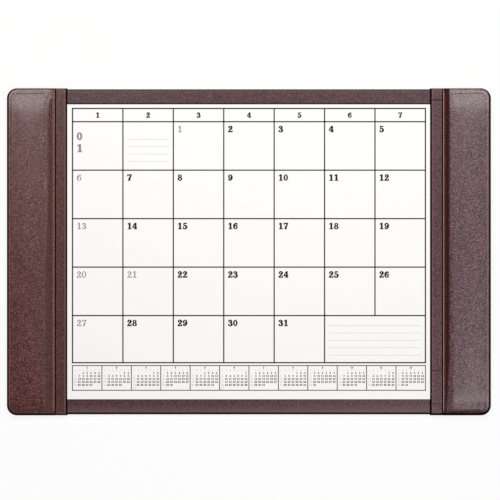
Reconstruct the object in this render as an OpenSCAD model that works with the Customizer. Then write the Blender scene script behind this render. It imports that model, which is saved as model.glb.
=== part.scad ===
// Leather desk pad: a wrapped board with two padded side rails whose sewn bands hold a month calendar.
// The origin is on the desk, under the middle of the pad. +X is to the right, +Y to the back, +Z up.

/* [Pad] */
// Width of the pad over both rails
pad_w = 648; // [600:1:700]
// Depth of the pad, front to back
pad_d = 438; // [400:1:480]
// Radius of the pad's four corners
corner_r = 13.5; // [10:0.5:18]

/* [Board, face and felt] */
// Thickness of the stiff core board
board_t = 3; // [2:0.1:5]
// Thickness of the leather glued over the board
face_t = 0.8; // [0.5:0.1:1.2]
// Width of the leather turned under the board
turn_in = 15; // [8:1:25]
// Thickness that the turned leather is pared down to
pared_t = 0.4; // [0.2:0.05:0.6]
// Thickness of the felt where no leather is turned under it
felt_t = 1.5; // [1.4:0.1:3]
// Distance from the pad's edge to the felt's edge
felt_inset = 4; // [2:0.5:8]

/* [Padded rails] */
// Width of each padded rail, with its seam
rail_w = 64.5; // [54:0.5:80]
// Thickness of the rail's leather
leather_t = 1; // [0.7:0.1:1.3]
// Height of the foam strip above the face
foam_h = 8.5; // [7.5:0.1:12]
// Radius of the shoulder along the outer edges
shoulder_r = 6.8; // [4:0.1:9]
// Radius of the slope from the crown down to the seam
slope_r = 6.8; // [5:0.1:9]
// Radius of the crown across the rail
crown_r = 600; // [300:10:1200]
// Length over which the padding falls away at each end
end_run = 22; // [14:1:32]
// Height lost at each end of the padding
end_drop = 3.6; // [2.4:0.1:4.2]
// Height of the shoulder's round above the crown that cuts it
rim_lift = 0.6; // [0.3:0.1:1]
// Height of the end's fall above the crown that cuts it
end_lift = 0.3; // [0.1:0.1:0.6]
// Slack between the foam and the leather
foam_ease = 0.25; // [0.1:0.05:0.5]
// Distance from the rail's inner edge to the foam, which makes the pocket
foam_gap = 9.5; // [8.5:0.5:14]

/* [Seam and stitching] */
// Width of the flat leather margin at the rail's inner edge
seam_w = 3.6; // [3.2:0.1:5]
// Thickness of that margin, with its edge turned under
seam_t = 1.2; // [1:0.05:1.5]
// Distance from the rail's inner edge to the stitches
stitch_inset = 2.7; // [1.8:0.1:2.7]
// Distance from one stitch to the next
stitch_pitch = 3; // [2.5:0.1:4]
// Length of one stitch
stitch_len = 2.2; // [1.6:0.1:2.3]
// Thickness of the thread
thread_d = 0.7; // [0.5:0.05:0.8]
// Room round the thread in its groove
thread_room = 0.25; // [0.2:0.01:0.3]
// Distance from the rail's ends to the first and last stitch
stitch_start = 5; // [4:0.5:10]

/* [Bands] */
// Width of each band that shows beside its rail
band_w = 16; // [12:0.5:20]
// Thickness of the folded band
band_t = 1.4; // [1:0.1:2]
// Width of the band sewn under the rail's seam
band_lap = 7; // [5:0.5:8]

/* [Calendar] */
// Width of the calendar that is tucked under each band
tuck = 10.5; // [6:0.5:11]
// Board left bare behind the calendar
border_back = 18.8; // [17:0.1:30]
// Board left bare in front of the calendar
border_front = 20.5; // [17:0.1:30]
// Thickness of the card under the sheets
backer_t = 0.6; // [0.4:0.05:1]
// Thickness of one sheet
sheet_t = 0.1; // [0.08:0.01:0.15]
// Width of the bound edge along the back
binding_w = 1.3; // [1:0.1:4]
// Room over the calendar under the bands
pocket_room = 0.3; // [0.2:0.05:0.6]

/* [Hidden] */
$fn = 96;
MONTHS = ["january", "february", "march", "april", "may", "june", "july", "august",
          "september", "october", "november", "december"];
SHEETS = [for (month = MONTHS) str(month, "_sheet")];

leather_brown = "#6b4b4a";
band_brown = "#64463f";
face_brown = "#5f484c";
thread_brown = "#7a5a50";
felt_black = "#1c1a1a";
board_grey = "#8f8373";
foam_cream = "#d9d2bd";
card_grey = "#9a948a";
binding_maroon = "#2b191b";
paper_white = "#f7f6f3";

// Heights from the desk up
face_turn_z = felt_t - pared_t;
rail_turn_z = face_turn_z - pared_t;
face_z = felt_t + board_t;
face_top = face_z + face_t;
sheets_z = face_top + backer_t;
calendar_top = sheets_z + len(SHEETS) * sheet_t;
band_z = calendar_top + pocket_room;
band_top = band_z + band_t;
seam_top = band_top + seam_t;
rail_h = face_top + foam_h + leather_t;
cut = 1;
above = rail_h + cut;

// Places from the rail's outer edge towards the middle
foam_edge = rail_w - foam_gap;
crease = rail_w - seam_w;
slope_z = rail_h - slope_r;
slope_reach = sqrt(pow(slope_r, 2) - pow(max(0, seam_top - slope_z), 2));
slope_start = crease - slope_reach;
stitch_line = rail_w - stitch_inset;
groove_r = thread_d / 2 + thread_room;
band_start = rail_w - band_lap;
band_edge = rail_w + band_w;

// The round shoulder and the end falls start a little above the crown, which cuts them cleanly
rim_z = rail_h + rim_lift - shoulder_r;
end_arc_r = (pow(end_run, 2) + pow(end_drop, 2)) / (2 * end_drop);
end_arc_z = rail_h + end_lift - end_arc_r;
half_d = pad_d / 2;
corner_y = half_d - corner_r;

// The wrapped leather of rails and bands lies outside the face cover's
face_inset = leather_t;
board_inset = leather_t + face_t;
face_half_d = half_d - face_inset;
calendar_w = pad_w - 2 * (band_edge - tuck);
calendar_front = border_front - face_half_d;
calendar_back = face_half_d - border_back;
sheet_back = calendar_back - binding_w;

// Plan of the pad, drawn in from its edge
module pad_outline(inset) {
    w = pad_w - 2 * inset;
    d = pad_d - 2 * inset;
    square([w - 2 * (corner_r - inset), d], center = true);
    square([w, d - 2 * (corner_r - inset)], center = true);
    for (x = [-1, 1], y = [-1, 1]) {
        translate([x * (pad_w / 2 - corner_r), y * corner_y])
            circle(corner_r - inset);
    }
}

module pad_slab(inset, from, to) {
    translate([0, 0, from])
        linear_extrude(to - from)
            pad_outline(inset);
}

// The board's underside inside the leather that is turned under it
module turned_opening() {
    margin = face_inset + turn_in;
    translate([margin - pad_w / 2, margin - half_d, -cut])
        cube([pad_w - 2 * margin, pad_d - 2 * margin, felt_t + 3 * cut]);
}

// Sections are drawn as width and height, then run along Y or along X
module run_along_y(length) {
    rotate([90, 0, 0])
        linear_extrude(length, center = true)
            children();
}

module run_along_x(from, to) {
    translate([from, 0, 0])
        rotate([90, 0, 90])
            linear_extrude(to - from)
                children();
}

// A section with a round top corner at its outer edge
module rim_section(inset, reach) {
    translate([inset, 0])
        square([reach - inset, rim_z]);
    translate([shoulder_r, 0])
        square([reach - shoulder_r, rim_z + shoulder_r - inset]);
    intersection() {
        translate([shoulder_r, rim_z])
            circle(shoulder_r - inset);
        square([shoulder_r, rim_z + shoulder_r]);
    }
}

// The rail's plan with its round shoulder along the side, the corners and the ends
module rail_rim(inset) {
    run_along_y(2 * corner_y)
        rim_section(inset, rail_w);
    for (end = [0, 1]) {
        mirror([0, end, 0]) {
            translate([0, -half_d, 0])
                run_along_x(corner_r, rail_w)
                    rim_section(inset, corner_r + cut);
            translate([corner_r, -corner_y, 0])
                rotate([0, 0, 180])
                    rotate_extrude(angle = 90)
                        translate([corner_r, 0])
                            mirror([1, 0])
                                rim_section(inset, corner_r);
        }
    }
}

// The crown across the rail and its slope down to the seam
module crown_section(inset) {
    intersection() {
        union() {
            square([slope_start, above]);
            translate([slope_start, slope_z])
                circle(slope_r - inset);
            translate([slope_start, 0])
                square([slope_r - inset, slope_z]);
        }
        translate([rail_w / 2, rail_h - crown_r])
            circle(crown_r - inset, $fn = 2 * $fn);
    }
}

// The padding's fall towards both ends
module end_section(inset) {
    mid = half_d - end_run;
    translate([-mid, 0])
        square([2 * mid, above]);
    for (side = [-1, 1]) {
        intersection() {
            translate([side * mid, end_arc_z])
                circle(end_arc_r - inset, $fn = 2 * $fn);
            translate([side * (half_d + mid) / 2, above / 2])
                square([end_run, above], center = true);
        }
    }
}

// The padding's outer form, drawn in by the inset, from a height up
module padding(inset, from) {
    intersection() {
        rail_rim(inset);
        run_along_y(pad_d)
            crown_section(inset);
        run_along_x(0, rail_w)
            end_section(inset);
        translate([0, -half_d, from])
            cube([rail_w, pad_d, above]);
    }
}

// The flat leather margin, with its inner edge folded round and a groove for the stitches
module seam_margin() {
    fold_r = seam_t / 2;
    difference() {
        intersection() {
            run_along_y(pad_d)
                union() {
                    translate([0, rail_turn_z])
                        square([rail_w, band_top - rail_turn_z]);
                    translate([0, band_top])
                        square([rail_w - fold_r, seam_t]);
                    translate([rail_w - fold_r, seam_top - fold_r])
                        circle(fold_r);
                }
            rail_rim(0);
        }
        translate([stitch_line, 0, seam_top])
            rotate([90, 0, 0])
                cylinder(h = pad_d - 2 * stitch_start, r = groove_r, center = true);
    }
}

// Moves a left-hand piece from the rail's own edge to the pad's left edge
module at_left() {
    translate([-pad_w / 2, 0, 0])
        children();
}

module at_right() {
    mirror([1, 0, 0])
        at_left()
            children();
}

module rail_cover() {
    difference() {
        union() {
            padding(0, rail_turn_z);
            seam_margin();
        }
        padding(leather_t, face_top);
        translate([corner_r, leather_t - half_d, face_top])
            cube([rail_w, pad_d - 2 * leather_t, band_top - face_top]);
        translate([pad_w / 2, 0, 0]) {
            pad_slab(face_inset, face_turn_z, face_top);
            turned_opening();
        }
    }
}

module rail_foam() {
    difference() {
        padding(leather_t + foam_ease, face_top);
        translate([foam_edge, -half_d, 0])
            cube([rail_w, pad_d, band_top + foam_ease]);
    }
}

// The band, folded at its inner edge, turned over the pad's ends and glued underneath
module band() {
    fold_r = band_t / 2;
    difference() {
        intersection() {
            run_along_y(pad_d)
                union() {
                    translate([band_start, rail_turn_z])
                        square([band_edge - fold_r - band_start, band_top - rail_turn_z]);
                    translate([band_edge - fold_r, band_top - fold_r])
                        circle(fold_r);
                }
            run_along_x(band_start, band_edge)
                band_end_section();
        }
        translate([0, leather_t - half_d, face_turn_z])
            cube([pad_w, pad_d - 2 * leather_t, band_z - face_turn_z]);
        translate([0, leather_t + turn_in - half_d, 0])
            cube([pad_w, pad_d - 2 * (leather_t + turn_in), face_top]);
        translate([0, -half_d, 0])
            cube([rail_w, pad_d, band_z]);
        for (end = [0, 1]) {
            mirror([0, end, 0])
                translate([0, face_half_d - foam_ease, 0])
                    cube([rail_w, leather_t + foam_ease + cut, above]);
        }
    }
}

// The band's length, with its top corners rounded where it turns down
module band_end_section() {
    round_y = half_d - band_t;
    translate([-round_y, 0])
        square([2 * round_y, band_top]);
    translate([-half_d, 0])
        square([pad_d, band_top - band_t]);
    for (side = [-1, 1]) {
        translate([side * round_y, band_top - band_t])
            circle(band_t);
    }
}

module stitch_row() {
    count = floor((pad_d - 2 * stitch_start - stitch_len) / stitch_pitch);
    for (i = [0 : count]) {
        translate([stitch_line, (i - count / 2) * stitch_pitch, seam_top])
            rotate([90, 0, 0])
                cylinder(h = stitch_len, d = thread_d, center = true);
    }
}

module felt_backing() {
    color(felt_black)
        difference() {
            pad_slab(felt_inset, 0, felt_t);
            difference() {
                pad_slab(0, face_turn_z, felt_t + cut);
                turned_opening();
            }
            difference() {
                pad_slab(0, rail_turn_z, felt_t + cut);
                turned_opening();
                translate([band_edge - pad_w / 2, -half_d, 0])
                    cube([pad_w - 2 * band_edge, pad_d, above]);
            }
        }
}

module base_board() {
    color(board_grey)
        pad_slab(board_inset, felt_t, face_z);
}

module face_cover() {
    fold_y = face_half_d - face_t;
    color(face_brown)
        difference() {
            intersection() {
                pad_slab(face_inset, face_turn_z, face_top);
                run_along_x(-pad_w / 2, pad_w / 2)
                    union() {
                        translate([-fold_y, 0])
                            square([2 * fold_y, face_top]);
                        translate([-face_half_d, 0])
                            square([2 * face_half_d, face_z]);
                        for (side = [-1, 1]) {
                            translate([side * fold_y, face_z])
                                circle(face_t);
                        }
                    }
            }
            pad_slab(board_inset, felt_t, face_z);
            intersection() {
                turned_opening();
                pad_slab(board_inset, 0, felt_t);
            }
        }
}

module left_rail_foam() {
    color(foam_cream)
        at_left()
            rail_foam();
}

module right_rail_foam() {
    color(foam_cream)
        at_right()
            rail_foam();
}

module left_rail_cover() {
    color(leather_brown)
        at_left()
            rail_cover();
}

module right_rail_cover() {
    color(leather_brown)
        at_right()
            rail_cover();
}

module left_band() {
    color(band_brown)
        at_left()
            band();
}

module right_band() {
    color(band_brown)
        at_right()
            band();
}

module left_stitching() {
    color(thread_brown)
        at_left()
            stitch_row();
}

module right_stitching() {
    color(thread_brown)
        at_right()
            stitch_row();
}

module calendar_backer() {
    color(card_grey)
        translate([-calendar_w / 2, calendar_front, face_top])
            cube([calendar_w, sheet_back - calendar_front, backer_t]);
}

module calendar_binding() {
    color(binding_maroon)
        translate([-calendar_w / 2, sheet_back, face_top])
            cube([calendar_w, binding_w, calendar_top - face_top]);
}

// Months lie in order, with the first on top
module month_sheet(month) {
    below = len(SHEETS) - 1 - month;
    color(paper_white)
        translate([-calendar_w / 2, calendar_front, sheets_z + below * sheet_t])
            cube([calendar_w, sheet_back - calendar_front, sheet_t]);
}

felt_backing();
base_board();
face_cover();
left_rail_foam();
right_rail_foam();
left_rail_cover();
right_rail_cover();
left_band();
right_band();
left_stitching();
right_stitching();
calendar_backer();
calendar_binding();
for (month = [0 : len(SHEETS) - 1]) {
    month_sheet(month);
}
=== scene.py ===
import math

import bmesh
import bpy
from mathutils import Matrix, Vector, noise


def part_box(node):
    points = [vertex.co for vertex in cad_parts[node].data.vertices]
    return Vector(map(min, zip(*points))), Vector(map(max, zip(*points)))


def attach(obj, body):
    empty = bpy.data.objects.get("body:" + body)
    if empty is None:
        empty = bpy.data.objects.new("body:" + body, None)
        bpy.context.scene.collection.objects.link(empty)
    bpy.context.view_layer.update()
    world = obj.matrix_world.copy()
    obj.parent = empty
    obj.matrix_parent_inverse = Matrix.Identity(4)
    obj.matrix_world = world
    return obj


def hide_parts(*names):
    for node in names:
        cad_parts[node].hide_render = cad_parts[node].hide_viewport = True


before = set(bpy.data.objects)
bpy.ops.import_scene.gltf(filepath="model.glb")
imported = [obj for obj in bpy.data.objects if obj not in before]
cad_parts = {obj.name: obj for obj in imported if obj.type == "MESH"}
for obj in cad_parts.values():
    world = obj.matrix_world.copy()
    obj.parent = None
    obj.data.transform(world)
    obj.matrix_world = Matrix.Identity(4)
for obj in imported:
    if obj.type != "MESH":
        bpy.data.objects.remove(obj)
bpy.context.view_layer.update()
mm = 0.001
print("frame loaded with", len(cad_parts), "nodes")


def easeBetween(low, high, x):
    t = min(1.0, max(0.0, (x - low) / (high - low)))
    return t * t * (3 - 2 * t)


def hump(centre, width, x):
    return math.exp(-((x - centre) / width) ** 2)


def softLower(a, b, blend):  # the lower of two heights, rounded where they cross
    t = min(1.0, max(0.0, 0.5 + 0.5 * (b - a) / blend))
    return b + (a - b) * t - blend * t * (1 - t)


def softHigher(a, b, blend):
    return -softLower(-a, -b, blend)


def steps(start, end, size):
    count = max(1, round((end - start) / size))
    return [start + (end - start) * i / count for i in range(count + 1)]


def boxInMm(node):
    low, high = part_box(node)
    return low / mm, high / mm


railLow, railHigh = boxInMm("left_rail_cover")
bandLow, bandHigh = boxInMm("left_band")
stitchLow, stitchHigh = boxInMm("left_stitching")
faceLow, faceHigh = boxInMm("face_cover")
feltLow, feltHigh = boxInMm("felt_backing")
halfWidth = -railLow.x
halfDepth = railHigh.y
depth = 2 * halfDepth
railWidth = railHigh.x - railLow.x
railTop = railHigh.z
turnBottom = railLow.z
faceTop = faceHigh.z
bandTop = bandHigh.z
bandStart = bandLow.x - railLow.x
bandEdge = bandHigh.x - railLow.x
seamTop = (stitchLow.z + stitchHigh.z) / 2
stitchLine = (stitchLow.x + stitchHigh.x) / 2 - railLow.x
sheetTop = boxInMm("january_sheet")[1].z
sideNames = {-1: "left", 1: "right"}


# materials

def addNode(tree, kind, inputs=None, **settings):
    node = tree.nodes.new(kind)
    for key, value in settings.items():
        setattr(node, key, value)
    for key, value in (inputs or {}).items():
        if hasattr(value, "is_output"):
            tree.links.new(value, node.inputs[key])
        else:
            node.inputs[key].default_value = value
    return node


def mixColours(tree, factor, first, second):
    mix = addNode(tree, "ShaderNodeMix", {0: factor, 6: first, 7: second}, data_type="RGBA")
    return mix.outputs[2]


def rangeOf(tree, value, low, high, newLow, newHigh):
    node = addNode(tree, "ShaderNodeMapRange", {
        "Value": value, "From Min": low, "From Max": high, "To Min": newLow, "To Max": newHigh})
    return node.outputs["Result"]


def calculate(tree, kind, a, b):
    return addNode(tree, "ShaderNodeMath", {0: a, 1: b}, operation=kind).outputs[0]


def newMaterial(name):
    material = bpy.data.materials.new(name)
    material.use_nodes = True
    tree = material.node_tree
    shader = tree.nodes["Principled BSDF"]
    coords = addNode(tree, "ShaderNodeTexCoord").outputs["Object"]
    return material, tree, shader, coords


def textureValue(tree, coords, scale, detail=2.0, roughness=0.5):
    node = addNode(tree, "ShaderNodeTexNoise", {
        "Vector": coords, "Scale": scale, "Detail": detail, "Roughness": roughness})
    return node.outputs["Fac"]


def markValue(tree, name):
    return addNode(tree, "ShaderNodeAttribute", attribute_name=name).outputs["Fac"]


leatherLook = {
    # dye: near-black for the dyed edges, also painted shade at the edges, in the gaps by the seams and
    # folds, and along the bands' creases
    "dye": (0.0035, 0.0015, 0.0015, 1),
    "dyePale": (0.009, 0.004, 0.004, 1),
    "patchScale": 24.0,
    "mottleScale": 190.0,
    "speckleScale": 900.0,
    "pebbleScale": 840.0,
    "poreScale": 3200.0,
    "poreShare": 0.25,
    "pebbleHeight": 0.0003,
    "bumpStrength": 0.27,
    "rough": 0.31,
    "roughSpread": (-0.06, 0.08),
    "shine": 0.47,
    "edgeShine": 0.0,
    "edgeRough": 0.92,
    "paintedShadeRough": 1.3,
    # for each mark, the texture value where it starts and where it is full, and its share there
    "darkPatches": (0.38, 0.66, 0.4),
    "darkMottle": (0.42, 0.66, 0.3),
    "palePebbles": (0.50, 0.70, 0.75),
    "darkPebbles": (0.50, 0.30, 1.0),
    "paleSpecks": (0.51, 0.62, 0.7),
    "darkSpecks": (0.49, 0.39, 1.0),
    "darkGaps": (0.40, 0.65, 0.5),
}


def leatherMaterial(name, base, deep, pale, marks=True, edges=(), paintedShadeTone=None, shine=None,
                    fine=1.0, patchy=1.0):
    look = leatherLook
    dye = look["dye"]
    material, tree, shader, coords = newMaterial(name)
    patches = textureValue(tree, coords, look["patchScale"], 3.0)
    mottle = textureValue(tree, coords, look["mottleScale"], 2.0)
    speckle = textureValue(tree, coords, look["speckleScale"] * fine, 3.0, 0.7)
    pores = textureValue(tree, coords, look["poreScale"], 2.0)
    cells = addNode(tree, "ShaderNodeTexVoronoi", {
        "Vector": coords, "Scale": look["pebbleScale"] * fine, "Smoothness": 0.5, "Randomness": 0.95},
        feature="SMOOTH_F1").outputs
    pebbles = cells["Distance"]
    pebbleTone = addNode(tree, "ShaderNodeSeparateColor", {0: cells["Color"]}).outputs[0]

    def marked(tone, value, mark, colour, most=1.0):
        start, full, amount = look[mark]
        return mixColours(tree, rangeOf(tree, value, start, full, 0.0, amount * most), tone, colour)

    def roughened(rough, share, most):
        return calculate(tree, "MAXIMUM", rough, calculate(tree, "MULTIPLY", share, most))

    tone = marked(base, patches, "darkPatches", deep, patchy)
    tone = marked(tone, mottle, "darkMottle", deep, patchy)
    tone = marked(tone, pebbleTone, "palePebbles", pale)
    tone = marked(tone, pebbleTone, "darkPebbles", deep)
    tone = marked(tone, speckle, "paleSpecks", pale)
    tone = marked(tone, speckle, "darkSpecks", deep)
    tone = marked(tone, pebbles, "darkGaps", deep)
    smoothest, roughest = [look["rough"] + change for change in look["roughSpread"]]
    rough = rangeOf(tree, speckle, 0.3, 0.7, smoothest, roughest)
    if marks:
        # painted highlight: paler leather along the ridges, folds and band ends, where light catches them
        highlit = calculate(tree, "MULTIPLY", markValue(tree, "paintedHighlight"),
                         rangeOf(tree, speckle, 0.25, 0.6, 0.7, 1.0))
        tone = mixColours(tree, highlit, tone, pale)
        # painted shade: darker, rougher leather down the rails' inner slopes, on their front rolls and
        # along the bands' creases
        shaded = markValue(tree, "crease")
        tone = mixColours(tree, shaded, tone, paintedShadeTone or dye)
        rough = roughened(rough, shaded, look["paintedShadeRough"])
        # dye and painted shade: near-black at the edges, and painted shadow in the gaps beside the seams
        # and folds
        dyedAndShaded = markValue(tree, "dyeAndShade")
        tone = mixColours(tree, dyedAndShaded, tone, dye)
        rough = roughened(rough, dyedAndShaded, look["edgeRough"])
    # strips across the piece by their place along y: pale ones are painted highlight, dye ones dye and
    # painted shade
    if edges:
        along = addNode(tree, "ShaderNodeSeparateXYZ", {0: coords}).outputs["Y"]
        for start, end, amount, colour in edges:
            share = rangeOf(tree, along, start, end, 0.0, amount)
            tone = mixColours(tree, share, tone, pale if colour == "pale" else dye)
            if colour == "dye":
                rough = calculate(tree, "MAXIMUM", rough, share)
    height = calculate(tree, "SUBTRACT", calculate(tree, "MULTIPLY", pores, look["poreShare"]), pebbles)
    bump = addNode(tree, "ShaderNodeBump", {
        "Strength": look["bumpStrength"], "Distance": look["pebbleHeight"], "Height": height})
    tree.links.new(tone, shader.inputs["Base Color"])
    tree.links.new(rough, shader.inputs["Roughness"])
    tree.links.new(bump.outputs["Normal"], shader.inputs["Normal"])
    shader.inputs["Specular IOR Level"].default_value = shine or look["shine"]
    return material


# each leather's usual, deepest and palest colour
leftRailLeather = leatherMaterial(
    "leftRailLeather", (0.082, 0.0090, 0.0078, 1), (0.022, 0.0026, 0.0020, 1), (0.262, 0.090, 0.086, 1),
    paintedShadeTone=(0.044, 0.0105, 0.0072, 1))
rightColours = [(0.080, 0.0180, 0.024, 1), (0.022, 0.0036, 0.0050, 1), (0.285, 0.150, 0.181, 1)]
rightPaintedShade = (0.034, 0.0072, 0.0062, 1)
rightRailLeather = leatherMaterial("rightRailLeather", *rightColours, paintedShadeTone=rightPaintedShade)
# painted shade: a low-shine copy of the right rail's leather, for the faces deepest in its painted slope
# shade
shadedLeather = leatherMaterial("shadedLeather", *rightColours, paintedShadeTone=rightPaintedShade, shine=0.1)
flatLook = {"fine": 1.35, "patchy": 0.4, "shine": 0.24}  # thinner leather, with nothing soft behind it
leftBandLeather = leatherMaterial(
    "leftBandLeather", (0.080, 0.021, 0.017, 1), (0.037, 0.0085, 0.0065, 1), (0.178, 0.079, 0.070, 1),
    **flatLook)
rightBandLeather = leatherMaterial(
    "rightBandLeather", (0.076, 0.0235, 0.0285, 1), (0.034, 0.0095, 0.011, 1), (0.21, 0.099, 0.117, 1),
    **flatLook)
faceFront, faceBack = faceLow.y * mm, faceHigh.y * mm
# the pale strips along the front and back edges are painted highlight; the dark strips at the very edges
# are dye and painted shade
faceLeather = leatherMaterial(
    "faceLeather", (0.070, 0.0240, 0.0300, 1), (0.033, 0.0100, 0.013, 1), (0.183, 0.092, 0.106, 1),
    marks=False, **flatLook,
    edges=[(faceFront + 14 * mm, faceFront + 4 * mm, 0.46, "pale"),  # from, to, share, colour
           (faceBack - 4 * mm, faceBack - 2.2 * mm, 0.45, "pale"),
           (faceFront + 3.0 * mm, faceFront + 2.4 * mm, 1.0, "dye"),
           (faceBack - 1.9 * mm, faceBack - 1.3 * mm, 0.9, "dye")])


def edgeMaterial():  # burnished, and black with dye, so it hardly shines; its near-black is also painted shade on the edges and painted shadow in the gaps by the seams and band folds
    look = leatherLook
    material, tree, shader, coords = newMaterial("shadedDyedEdge")
    grain = textureValue(tree, coords, look["speckleScale"], 3.0, 0.65)
    tone = mixColours(tree, rangeOf(tree, grain, 0.35, 0.7, 0.0, 1.0), look["dye"], look["dyePale"])
    bump = addNode(tree, "ShaderNodeBump", {"Strength": 0.4, "Distance": 0.0002, "Height": grain})
    tree.links.new(tone, shader.inputs["Base Color"])
    tree.links.new(rangeOf(tree, grain, 0.3, 0.7, 0.86, 0.96), shader.inputs["Roughness"])
    tree.links.new(bump.outputs["Normal"], shader.inputs["Normal"])
    shader.inputs["Specular IOR Level"].default_value = look["edgeShine"]
    return material


shadedDyedEdge = edgeMaterial()


def plainMaterial(name, first, second, scale, rough, grain, shine=0.3, stretch=(1, 1, 1)):
    material, tree, shader, coords = newMaterial(name)
    spread = addNode(tree, "ShaderNodeMapping", {"Vector": coords, "Scale": stretch}).outputs[0]
    fibres = textureValue(tree, spread, scale, 4.0, 0.6)
    tone = mixColours(tree, rangeOf(tree, fibres, 0.3, 0.7, 0.0, 1.0), first, second)
    bump = addNode(tree, "ShaderNodeBump", {"Strength": 0.5, "Distance": grain, "Height": fibres})
    tree.links.new(tone, shader.inputs["Base Color"])
    tree.links.new(rangeOf(tree, fibres, 0.3, 0.7, rough - 0.05, rough + 0.04), shader.inputs["Roughness"])
    tree.links.new(bump.outputs["Normal"], shader.inputs["Normal"])
    shader.inputs["Specular IOR Level"].default_value = shine
    return material


plainLooks = {  # two colours, fibre scale, roughness, fibre height in metres, shine, stretch of the fibres
    # the right thread is darker than the left: painted shade, for the right seam, which lies in shade by
    # its steep slope
    "leftThread": ((0.46, 0.27, 0.20, 1), (0.32, 0.17, 0.13, 1), 2400, 0.6, 0.00008, 0.3, (1, 3, 1)),
    "rightThread": ((0.42, 0.20, 0.14, 1), (0.28, 0.12, 0.085, 1), 2400, 0.6, 0.00008, 0.3, (1, 3, 1)),
    # painted shade: near-black dimples that stand for the shade inside the needle holes
    "needleHoleShade": ((0.004, 0.002, 0.002, 1), (0.008, 0.004, 0.004, 1), 900, 0.9, 0.00005, 0.1),
    "blackFelt": ((0.03, 0.026, 0.026, 1), (0.06, 0.054, 0.053, 1), 900, 0.93, 0.0004, 0.1),
    "hardboard": ((0.25, 0.20, 0.15, 1), (0.31, 0.26, 0.20, 1), 500, 0.8, 0.0001, 0.2),
    "greyCard": ((0.30, 0.275, 0.235, 1), (0.35, 0.325, 0.285, 1), 700, 0.85, 0.00005, 0.2),
    "boundEdge": ((0.020, 0.006, 0.007, 1), (0.035, 0.012, 0.013, 1), 1500, 0.8, 0.0001, 0.2, (1, 4, 4)),
    "calendarPaper": ((0.905, 0.902, 0.892, 1), (0.93, 0.928, 0.92, 1), 650, 0.82, 0.00001, 0.2),
    "blackInk": ((0.005, 0.005, 0.006, 1), (0.010, 0.010, 0.012, 1), 1200, 0.7, 0.000004, 0.2),
    "ruleInk": ((0.03, 0.03, 0.033, 1), (0.044, 0.044, 0.048, 1), 1200, 0.7, 0.000004, 0.2),
    "greyInk": ((0.23, 0.23, 0.235, 1), (0.29, 0.29, 0.295, 1), 1200, 0.75, 0.000004, 0.2),
    "paleInk": ((0.62, 0.62, 0.63, 1), (0.68, 0.68, 0.69, 1), 1200, 0.75, 0.000004, 0.2),
}
plain = {name: plainMaterial(name, *look) for name, look in plainLooks.items()}
print("materials made:", len(bpy.data.materials))


# meshes

slotLimits = {"dyeAndShade": 0.6, "crease": 0.35}  # marks past which a face takes a finish of its own: the near-black edge one, or for the painted crease shade the low-shine shaded copy


def makePiece(name, points, faces, material, marks=None, shaded=None):
    mesh = bpy.data.meshes.new(name)
    mesh.from_pydata([Vector(p) * mm for p in points], [], faces)
    for markName, values in (marks or {}).items():
        layer = mesh.attributes.new(markName, "FLOAT", "POINT")
        layer.data.foreach_set("value", values)
    mesh.materials.append(material)
    tidy = bmesh.new()
    tidy.from_mesh(mesh)
    bmesh.ops.remove_doubles(tidy, verts=tidy.verts, dist=0.001 * mm)
    bmesh.ops.triangulate(tidy, faces=[f for f in tidy.faces if len(f.verts) > 4])
    bmesh.ops.recalc_face_normals(tidy, faces=tidy.faces)
    openEdges = sum(1 for e in tidy.edges if not e.is_manifold)
    tidy.to_mesh(mesh)
    tidy.free()
    mesh.shade_smooth()
    if marks:
        mesh.materials.append(shadedDyedEdge)
        mesh.materials.append(shaded or material)
        dyes = [item.value for item in mesh.attributes["dyeAndShade"].data]
        creases = [item.value for item in mesh.attributes["crease"].data]
        for polygon in mesh.polygons:
            if min(dyes[k] for k in polygon.vertices) > slotLimits["dyeAndShade"]:
                polygon.material_index = 1
            elif min(creases[k] for k in polygon.vertices) > slotLimits["crease"]:
                polygon.material_index = 2
    piece = bpy.data.objects.new(name, mesh)
    bpy.context.scene.collection.objects.link(piece)
    print(name, len(mesh.polygons), "faces,", openEdges, "open edges")
    return piece


def pointStore(side):  # points by their distance in from the pad's side, each with its marks: dye and painted shade at edges, painted highlight, and painted shade at creases
    points, marks = [], {"dyeAndShade": [], "paintedHighlight": [], "crease": []}

    def addPoint(u, y, z, dyedAndShaded=0.0, highlit=0.0, shaded=0.0):
        points.append((side * (halfWidth - u), y, z))
        for name, value in (("dyeAndShade", dyedAndShaded), ("paintedHighlight", highlit), ("crease", shaded)):
            marks[name].append(value)
        return len(points) - 1

    return points, marks, addPoint


def unevenness(u, y, side, waves):
    return sum(share * noise.noise(Vector((u * across, y * along, side * seed)))
               for share, across, along, seed in waves)


def carry(piece, body, slot, *nodes):
    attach(piece, body)
    if nodes:
        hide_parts(*nodes)


# padded rails: a round shoulder outside, a crowned top, and a slope to the sewn seam inside

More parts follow.
